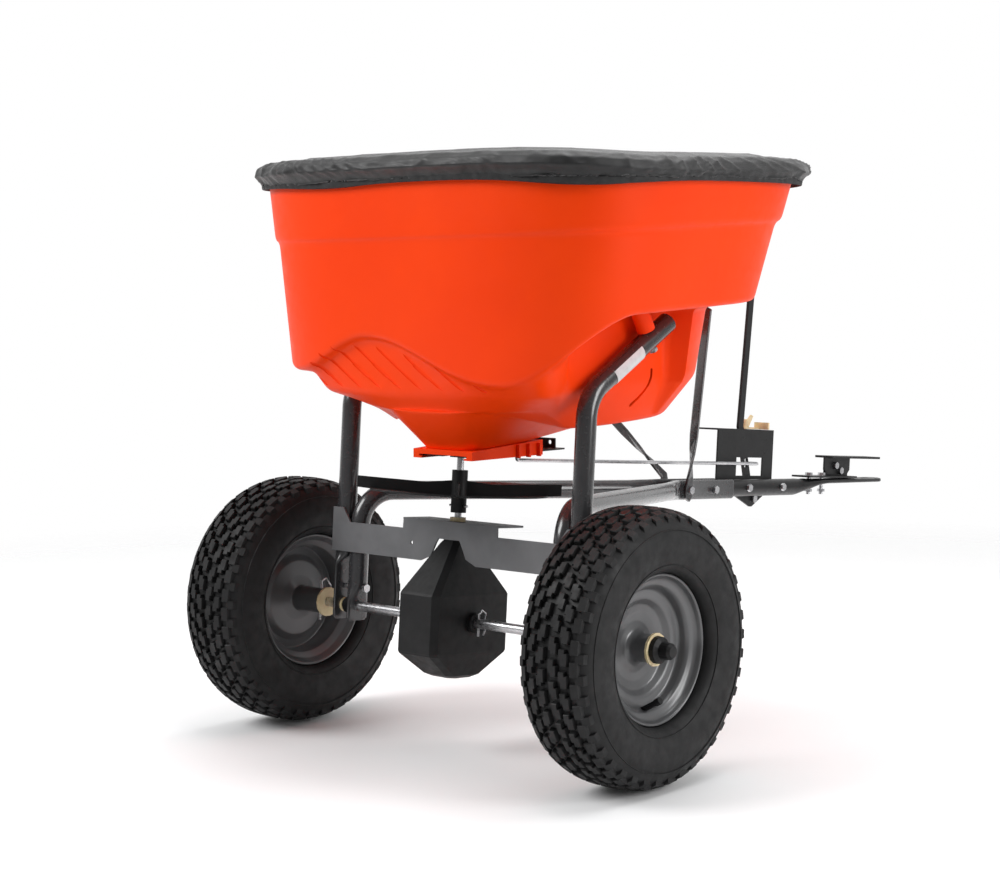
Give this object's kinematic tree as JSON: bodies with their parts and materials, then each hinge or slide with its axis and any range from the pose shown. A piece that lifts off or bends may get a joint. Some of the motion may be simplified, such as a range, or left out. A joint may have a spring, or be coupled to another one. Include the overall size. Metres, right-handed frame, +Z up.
{
  "type": "tow-behind broadcast spreader",
  "caption": "Tow-behind broadcast spreader: an orange hopper with a fabric cover on a tubular frame, two wheels, and a geared spinner driven from the axle.",
  "frame": {"origin": "on the floor under the centre of the whole object's footprint", "axes": "+Z up, +X to the right-hand wheel along the axle, +Y forward along the tongue to the hitch"},
  "size_m": [0.686, 1.1819, 0.7555],
  "materials": {
    "tyre": "matt black rubber with a block tread",
    "rim": "grey gloss paint",
    "black_plastic": "black moulded plastic, fine grain",
    "nylon": "ivory moulded plastic",
    "zinc_steel": "bright zinc plate",
    "gear_steel": "oiled steel",
    "frame_paint": "dark grey gloss powder coat",
    "grey_plate": "mid grey satin paint",
    "black_paint": "black powder coat",
    "orange_plastic": "orange moulded plastic, satin with a fine grain",
    "cover_fabric": "black coated woven fabric"
  },
  "bodies": {
    "chassis": {"gearbox_housing": "black_plastic", "gearbox_cover": "black_plastic", "cross_plate": "grey_plate", "shaft_bushing": "nylon", "tongue": "black_paint", "hitch_base": "black_paint", "hitch_strap": "black_paint", "control_bracket": "black_paint", "gate_guide": "orange_plastic", "hopper": "orange_plastic", "lever_pivot_bolt": "zinc_steel", "upright_left": "frame_paint", "upright_right": "frame_paint", "drawbar_tube_left": "frame_paint", "drawbar_tube_right": "frame_paint", "strut_left": "frame_paint", "strut_right": "frame_paint", "leg_bolt_left": "zinc_steel", "leg_bolt_right": "zinc_steel", "axle_bushing_left": "nylon", "axle_bushing_right": "nylon", "hopper_bolt_left": "zinc_steel", "hopper_bolt_right": "zinc_steel", "clamp_bolt_rear": "zinc_steel", "clamp_bolt_front": "zinc_steel", "bracket_bolt_rear": "zinc_steel", "bracket_bolt_front": "zinc_steel", "hitch_bolt_rear": "zinc_steel", "hitch_bolt_front": "zinc_steel", "hitch_web_bolt_upper": "zinc_steel", "hitch_web_bolt_lower": "zinc_steel"},
    "drive_axle": {"axle": "zinc_steel", "ring_gear": "gear_steel", "tyre_left": "tyre", "rim_left": "rim", "valve_left": "black_plastic", "wheel_bushing_left_outer": "nylon", "wheel_bushing_left_inner": "nylon", "wheel_drive_pin": "zinc_steel", "gearbox_cotter_left": "zinc_steel", "gearbox_cotter_right": "zinc_steel", "hub_cap_left": "black_plastic", "hub_cap_right": "black_plastic", "axle_collar_left": "black_paint", "axle_collar_right": "black_paint"},
    "right_wheel": {"tyre_right": "tyre", "rim_right": "rim", "valve_right": "black_plastic", "wheel_bushing_right_outer": "nylon", "wheel_bushing_right_inner": "nylon"},
    "spinner_shaft": {"spinner_shaft": "zinc_steel", "pinion": "gear_steel", "spinner": "black_plastic", "spinner_pin": "zinc_steel", "agitator": "zinc_steel"},
    "lever": {"control_lever": "black_paint"},
    "gate": {"shutoff_plate": "black_paint", "flow_rod": "zinc_steel"},
    "stop": {"flow_stop": "nylon"},
    "cover": {"cover": "cover_fabric"}
  },
  "joints": [
    {"name": "drive_wheel_turn", "type": "hinge", "parent": "chassis", "child": "drive_axle", "pos_m": [0, -0.4263, 0.165], "axis": [1, 0, 0], "continuous": true},
    {"name": "free_wheel_turn", "type": "hinge", "parent": "drive_axle", "child": "right_wheel", "pos_m": [0.2895, -0.4263, 0.165], "axis": [1, 0, 0], "continuous": true},
    {"name": "spinner_turn", "type": "hinge", "parent": "chassis", "child": "spinner_shaft", "pos_m": [0, -0.41542, 0.32062], "axis": [0, 0.0698, 0.9976], "continuous": true},
    {"name": "lever_swing", "type": "hinge", "parent": "chassis", "child": "lever", "pos_m": [-0.0205, 0.25842, 0.26608], "axis": [-1, 0, 0], "range_deg": [0, 30]},
    {"name": "gate_slide", "type": "slide", "parent": "chassis", "child": "gate", "axis": [0, 1, 0.0052], "range_m": [0, 0.029]},
    {"name": "stop_slide", "type": "slide", "parent": "chassis", "child": "stop", "axis": [0, 0.9976, -0.0698], "range_m": [-0.05, 0]},
    {"name": "cover_lift", "type": "slide", "parent": "chassis", "child": "cover", "axis": [0, -0.0637, 0.998], "range_m": [0, 0.2]}
  ],
  "couplings": [
    {"joint": "spinner_turn", "follows": "drive_wheel_turn", "ratio": 5},
    {"joint": "gate_slide", "follows": "lever_swing", "m_per_rad": 0.0548}
  ]
}
